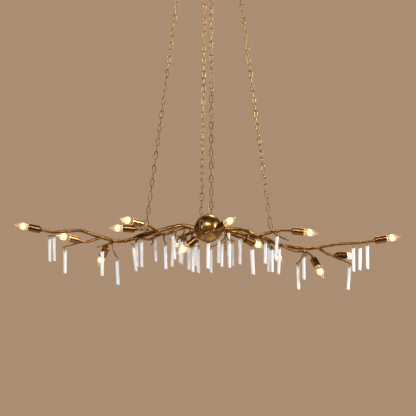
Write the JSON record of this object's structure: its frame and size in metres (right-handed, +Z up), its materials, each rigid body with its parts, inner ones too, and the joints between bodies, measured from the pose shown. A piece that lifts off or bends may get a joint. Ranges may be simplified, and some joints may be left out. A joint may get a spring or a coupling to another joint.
{
  "type": "chandelier",
  "caption": "Long branch chandelier on chains, with flame-shaped candle lamps in plain cups, a ball hub and hanging crystal sticks.",
  "frame": {"origin": "centre of the canopy's open face, in the ceiling plane", "axes": "+Z up into the ceiling, +X along the long branches towards the picture's right, +Y towards the back"},
  "size_m": [1.6322, 0.3574, 2.2056],
  "materials": {
    "antique_gold": "patinated",
    "zinc_steel": "satin",
    "clear_cord": "clear",
    "holder_plastic": "matte",
    "base_brass": "polished",
    "bulb_glass": "clear",
    "crystal": "translucent"
  },
  "bodies": {
    "ceiling": {"canopy": "antique_gold", "ceiling_bracket": "zinc_steel", "lock_nut": "zinc_steel", "canopy_loop": "antique_gold", "cord_tail": "clear_cord"},
    "hanging_ring": {"master_link": "antique_gold"},
    "chandelier": {"chain_left": "antique_gold", "chain_right": "antique_gold", "chain_front": "antique_gold", "chain_back": "antique_gold", "hub_upper_shell": "antique_gold", "hub_lower_shell": "antique_gold", "hub_spindle": "antique_gold", "left_branch": "antique_gold", "right_branch": "antique_gold", "front_branch": "antique_gold", "back_branch": "antique_gold", "lamp_cups": "antique_gold", "lampholders": "holder_plastic", "bulb_bases": "base_brass", "bulb_glass": "bulb_glass", "supply_cord": "clear_cord"},
    "stick_01": {"stick_01": "crystal"},
    "stick_02": {"stick_02": "crystal"},
    "stick_03": {"stick_03": "crystal"},
    "stick_04": {"stick_04": "crystal"},
    "stick_05": {"stick_05": "crystal"},
    "stick_06": {"stick_06": "crystal"},
    "stick_07": {"stick_07": "crystal"},
    "stick_08": {"stick_08": "crystal"},
    "stick_09": {"stick_09": "crystal"},
    "stick_10": {"stick_10": "crystal"},
    "stick_11": {"stick_11": "crystal"},
    "stick_12": {"stick_12": "crystal"},
    "stick_13": {"stick_13": "crystal"},
    "stick_14": {"stick_14": "crystal"},
    "stick_15": {"stick_15": "crystal"},
    "stick_16": {"stick_16": "crystal"},
    "stick_17": {"stick_17": "crystal"},
    "stick_18": {"stick_18": "crystal"},
    "stick_19": {"stick_19": "crystal"},
    "stick_20": {"stick_20": "crystal"},
    "stick_21": {"stick_21": "crystal"},
    "stick_22": {"stick_22": "crystal"},
    "stick_23": {"stick_23": "crystal"},
    "stick_24": {"stick_24": "crystal"},
    "stick_25": {"stick_25": "crystal"},
    "stick_26": {"stick_26": "crystal"},
    "stick_27": {"stick_27": "crystal"},
    "stick_28": {"stick_28": "crystal"},
    "stick_29": {"stick_29": "crystal"},
    "stick_30": {"stick_30": "crystal"},
    "stick_31": {"stick_31": "crystal"},
    "stick_32": {"stick_32": "crystal"},
    "stick_33": {"stick_33": "crystal"},
    "stick_34": {"stick_34": "crystal"},
    "stick_35": {"stick_35": "crystal"},
    "stick_36": {"stick_36": "crystal"},
    "stick_37": {"stick_37": "crystal"},
    "stick_38": {"stick_38": "crystal"}
  },
  "joints": [
    {"name": "side_sway", "type": "hinge", "parent": "ceiling", "child": "hanging_ring", "pos_m": [0, 0, -0.0584], "axis": [0, 1, 0], "range_deg": [-7, 7]},
    {"name": "front_sway", "type": "hinge", "parent": "hanging_ring", "child": "chandelier", "pos_m": [0, 0, -0.1086], "axis": [1, 0, 0], "range_deg": [-7, 7]},
    {"name": "stick_01_swing", "type": "hinge", "parent": "chandelier", "child": "stick_01", "pos_m": [-0.66911, -0.00612, -1.97653], "axis": [0.9996, -0.0288, 0], "range_deg": [-15, 15]},
    {"name": "stick_02_swing", "type": "hinge", "parent": "chandelier", "child": "stick_02", "pos_m": [-0.65141, -0.00574, -1.9741], "axis": [0.9979, 0.0651, 0], "range_deg": [-15, 15]},
    {"name": "stick_03_swing", "type": "hinge", "parent": "chandelier", "child": "stick_03", "pos_m": [-0.60268, -0.03648, -2.02173], "axis": [0.9923, -0.1238, 0], "range_deg": [-14, 14]},
    {"name": "stick_04_swing", "type": "hinge", "parent": "chandelier", "child": "stick_04", "pos_m": [-0.44932, -0.01444, -2.01779], "axis": [0.9417, 0.3365, 0], "range_deg": [-10, 10]},
    {"name": "stick_05_swing", "type": "hinge", "parent": "chandelier", "child": "stick_05", "pos_m": [-0.38621, -0.01265, -2.06446], "axis": [0.9999, -0.013, 0], "range_deg": [-14, 14]},
    {"name": "stick_06_swing", "type": "hinge", "parent": "chandelier", "child": "stick_06", "pos_m": [-0.30624, 0.01583, -1.99664], "axis": [0.9758, -0.2189, 0], "range_deg": [-10, 10]},
    {"name": "stick_07_swing", "type": "hinge", "parent": "chandelier", "child": "stick_07", "pos_m": [-0.31605, -0.0378, -2.00861], "axis": [0.7841, 0.6207, 0], "range_deg": [-8, 8]},
    {"name": "stick_08_swing", "type": "hinge", "parent": "chandelier", "child": "stick_08", "pos_m": [-0.2841, -0.01577, -1.98589], "axis": [0.9791, -0.2036, 0], "range_deg": [-10, 10]},
    {"name": "stick_09_swing", "type": "hinge", "parent": "chandelier", "child": "stick_09", "pos_m": [-0.22801, 0.0418, -1.97514], "axis": [0.7156, -0.6985, 0], "range_deg": [-12, 12]},
    {"name": "stick_10_swing", "type": "hinge", "parent": "chandelier", "child": "stick_10", "pos_m": [-0.18289, -0.04493, -2.00436], "axis": [0.9839, -0.1786, 0], "range_deg": [-12, 12]},
    {"name": "stick_11_swing", "type": "hinge", "parent": "chandelier", "child": "stick_11", "pos_m": [-0.15147, -0.05319, -1.95772], "axis": [0.9942, -0.1072, 0], "range_deg": [-10, 10]},
    {"name": "stick_12_swing", "type": "hinge", "parent": "chandelier", "child": "stick_12", "pos_m": [-0.15402, 0.04673, -1.9925], "axis": [0.9851, -0.1721, 0], "range_deg": [-10, 10]},
    {"name": "stick_13_swing", "type": "hinge", "parent": "chandelier", "child": "stick_13", "pos_m": [-0.12739, 0.05566, -1.9794], "axis": [0.9064, 0.4223, 0], "range_deg": [-8, 8]},
    {"name": "stick_14_swing", "type": "hinge", "parent": "chandelier", "child": "stick_14", "pos_m": [-0.11464, -0.04288, -1.98667], "axis": [0.876, -0.4823, 0], "range_deg": [-9, 9]},
    {"name": "stick_15_swing", "type": "hinge", "parent": "chandelier", "child": "stick_15", "pos_m": [-0.08504, -0.05112, -2.00286], "axis": [1, 0, 0], "range_deg": [-10, 10]},
    {"name": "stick_16_swing", "type": "hinge", "parent": "chandelier", "child": "stick_16", "pos_m": [-0.06774, -0.07045, -2.01374], "axis": [0.9961, -0.0882, 0], "range_deg": [-10, 10]},
    {"name": "stick_17_swing", "type": "hinge", "parent": "chandelier", "child": "stick_17", "pos_m": [-0.05603, -0.01437, -1.9886], "axis": [0.9911, 0.1332, 0], "range_deg": [-10, 10]},
    {"name": "stick_18_swing", "type": "hinge", "parent": "chandelier", "child": "stick_18", "pos_m": [-0.04662, -0.06982, -2.01777], "axis": [0.992, 0.126, 0], "range_deg": [-10, 10]},
    {"name": "stick_19_swing", "type": "hinge", "parent": "chandelier", "child": "stick_19", "pos_m": [-0.00429, -0.08635, -1.99348], "axis": [0.995, 0.1003, 0], "range_deg": [-12, 12]},
    {"name": "stick_20_swing", "type": "hinge", "parent": "chandelier", "child": "stick_20", "pos_m": [0.00745, 0.01737, -2.02138], "axis": [0.9477, -0.3192, 0], "range_deg": [-10, 10]},
    {"name": "stick_21_swing", "type": "hinge", "parent": "chandelier", "child": "stick_21", "pos_m": [0.04029, -0.04444, -1.97615], "axis": [0.9993, 0.0365, 0], "range_deg": [-10, 10]},
    {"name": "stick_22_swing", "type": "hinge", "parent": "chandelier", "child": "stick_22", "pos_m": [0.05226, 0.00421, -1.99815], "axis": [0.9924, 0.1232, 0], "range_deg": [-9, 9]},
    {"name": "stick_23_swing", "type": "hinge", "parent": "chandelier", "child": "stick_23", "pos_m": [0.08082, -0.02583, -1.94646], "axis": [0.9937, -0.1117, 0], "range_deg": [-8, 8]},
    {"name": "stick_24_swing", "type": "hinge", "parent": "chandelier", "child": "stick_24", "pos_m": [0.08289, -0.06592, -1.99276], "axis": [0.9351, -0.3544, 0], "range_deg": [-9, 9]},
    {"name": "stick_25_swing", "type": "hinge", "parent": "chandelier", "child": "stick_25", "pos_m": [0.09721, 0.04455, -1.99662], "axis": [0.9734, 0.2291, 0], "range_deg": [-10, 10]},
    {"name": "stick_26_swing", "type": "hinge", "parent": "chandelier", "child": "stick_26", "pos_m": [0.1293, 0.02714, -1.96673], "axis": [0.9929, -0.1185, 0], "range_deg": [-12, 12]},
    {"name": "stick_27_swing", "type": "hinge", "parent": "chandelier", "child": "stick_27", "pos_m": [0.17806, -0.06526, -2.0191], "axis": [0.9774, -0.2115, 0], "range_deg": [-14, 14]},
    {"name": "stick_28_swing", "type": "hinge", "parent": "chandelier", "child": "stick_28", "pos_m": [0.23596, 0.00058, -1.9885], "axis": [0.9903, -0.1387, 0], "range_deg": [-6, 6]},
    {"name": "stick_29_swing", "type": "hinge", "parent": "chandelier", "child": "stick_29", "pos_m": [0.24987, 0.0204, -2.01046], "axis": [0.8952, 0.4458, 0], "range_deg": [-9, 9]},
    {"name": "stick_30_swing", "type": "hinge", "parent": "chandelier", "child": "stick_30", "pos_m": [0.262, -0.02362, -2.02073], "axis": [0.9349, -0.3549, 0], "range_deg": [-6, 6]},
    {"name": "stick_31_swing", "type": "hinge", "parent": "chandelier", "child": "stick_31", "pos_m": [0.28303, -0.04549, -1.96213], "axis": [0.7865, -0.6176, 0], "range_deg": [-6, 6]},
    {"name": "stick_32_swing", "type": "hinge", "parent": "chandelier", "child": "stick_32", "pos_m": [0.29425, -0.00067, -2.01439], "axis": [1, -0.0028, 0], "range_deg": [-9, 9]},
    {"name": "stick_33_swing", "type": "hinge", "parent": "chandelier", "child": "stick_33", "pos_m": [0.37385, 0.01441, -2.08995], "axis": [1, -0.0061, 0], "range_deg": [-12, 12]},
    {"name": "stick_34_swing", "type": "hinge", "parent": "chandelier", "child": "stick_34", "pos_m": [0.39698, 0.00411, -2.05502], "axis": [0.8662, -0.4997, 0], "range_deg": [-12, 12]},
    {"name": "stick_35_swing", "type": "hinge", "parent": "chandelier", "child": "stick_35", "pos_m": [0.59175, 0.03338, -2.09363], "axis": [0.9965, -0.084, 0], "range_deg": [-12, 12]},
    {"name": "stick_36_swing", "type": "hinge", "parent": "chandelier", "child": "stick_36", "pos_m": [0.60453, -0.00072, -2.00718], "axis": [1, 0, 0], "range_deg": [-14, 14]},
    {"name": "stick_37_swing", "type": "hinge", "parent": "chandelier", "child": "stick_37", "pos_m": [0.63342, -0.00072, -2.00458], "axis": [1, 0, 0], "range_deg": [-14, 14]},
    {"name": "stick_38_swing", "type": "hinge", "parent": "chandelier", "child": "stick_38", "pos_m": [0.66321, -0.00072, -2.00095], "axis": [1, 0, 0], "range_deg": [-14, 14]}
  ]
}
